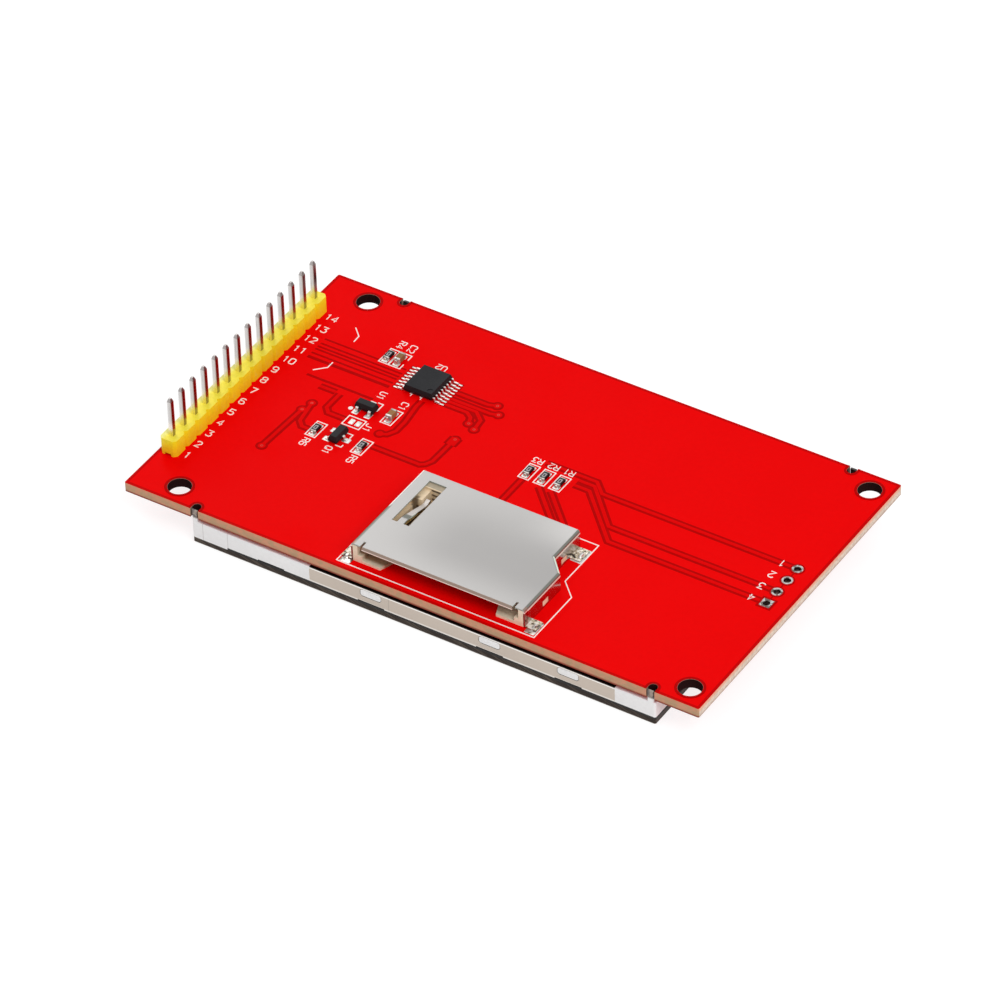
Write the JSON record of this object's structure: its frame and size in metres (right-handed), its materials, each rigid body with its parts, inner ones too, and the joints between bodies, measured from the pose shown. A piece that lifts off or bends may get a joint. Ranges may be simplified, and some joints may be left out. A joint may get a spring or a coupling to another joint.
{
  "type": "tft display module",
  "caption": "Flat colour display with a touch panel, stuck to a red circuit board that carries a pin connector, a memory card socket and small parts.",
  "frame": {"origin": "below the middle of the circuit board, on the face of the touch panel that the module rests on", "axes": "+X along the board from the pin connector to the row of four plated holes, +Y from the card socket's mouth to the far long edge, +Z out of the board's component side"},
  "size_m": [0.086, 0.05, 0.0138],
  "materials": {
    "solder_mask": "gloss red lacquer over glass fibre board",
    "header_plastic": "satin yellow",
    "pin_metal": "bright plated",
    "socket_steel": "satin",
    "socket_plastic": "matte cream",
    "contact_metal": "plated",
    "package_plastic": "matte black",
    "lead_metal": "tinned",
    "resistor_ceramic": "black glaze with tinned ends",
    "capacitor_ceramic": "tan with tinned ends",
    "frame_plastic": "matte white",
    "cover_steel": "satin",
    "gasket_foam": "matte black",
    "tape_foam": "matte white",
    "panel_glass": "polished",
    "optical_film": "satin",
    "polariser_film": "gloss",
    "touch_film": "gloss",
    "clear_acrylic": "polished",
    "flex_film": "amber film over copper",
    "lamp_body": "yellow phosphor in a white case",
    "driver_silicon": "polished dark"
  },
  "bodies": {
    "root": {"circuit_board": "solder_mask", "header_housing": "header_plastic", "card_socket_shell": "socket_steel", "card_socket_base": "socket_plastic", "card_contacts": "contact_metal", "touch_controller": "package_plastic", "touch_controller_leads": "lead_metal", "regulator": "package_plastic", "regulator_leads": "lead_metal", "transistor": "package_plastic", "transistor_leads": "lead_metal", "capacitor_1": "capacitor_ceramic", "capacitor_2": "capacitor_ceramic", "mounting_tape_1": "tape_foam", "mounting_tape_2": "tape_foam", "backlight_frame": "frame_plastic", "steel_cover": "cover_steel", "reflector_sheet": "optical_film", "light_guide": "clear_acrylic", "diffuser_sheet": "optical_film", "prism_sheet": "optical_film", "rear_polariser": "polariser_film", "front_polariser": "polariser_film", "array_glass": "panel_glass", "filter_glass": "panel_glass", "driver_chip": "driver_silicon", "display_flex": "flex_film", "touch_flex": "flex_film", "led_flex": "flex_film", "touch_gasket": "gasket_foam", "touch_glass": "panel_glass", "touch_film": "touch_film", "header_pin_01": "pin_metal", "header_pin_02": "pin_metal", "header_pin_03": "pin_metal", "header_pin_04": "pin_metal", "header_pin_05": "pin_metal", "header_pin_06": "pin_metal", "header_pin_07": "pin_metal", "header_pin_08": "pin_metal", "header_pin_09": "pin_metal", "header_pin_10": "pin_metal", "header_pin_11": "pin_metal", "header_pin_12": "pin_metal", "header_pin_13": "pin_metal", "header_pin_14": "pin_metal", "resistor_1": "resistor_ceramic", "resistor_2": "resistor_ceramic", "resistor_3": "resistor_ceramic", "resistor_4": "resistor_ceramic", "resistor_5": "resistor_ceramic", "resistor_6": "resistor_ceramic", "led_1": "lamp_body", "led_2": "lamp_body", "led_3": "lamp_body", "led_4": "lamp_body"}
  },
  "joints": []
}
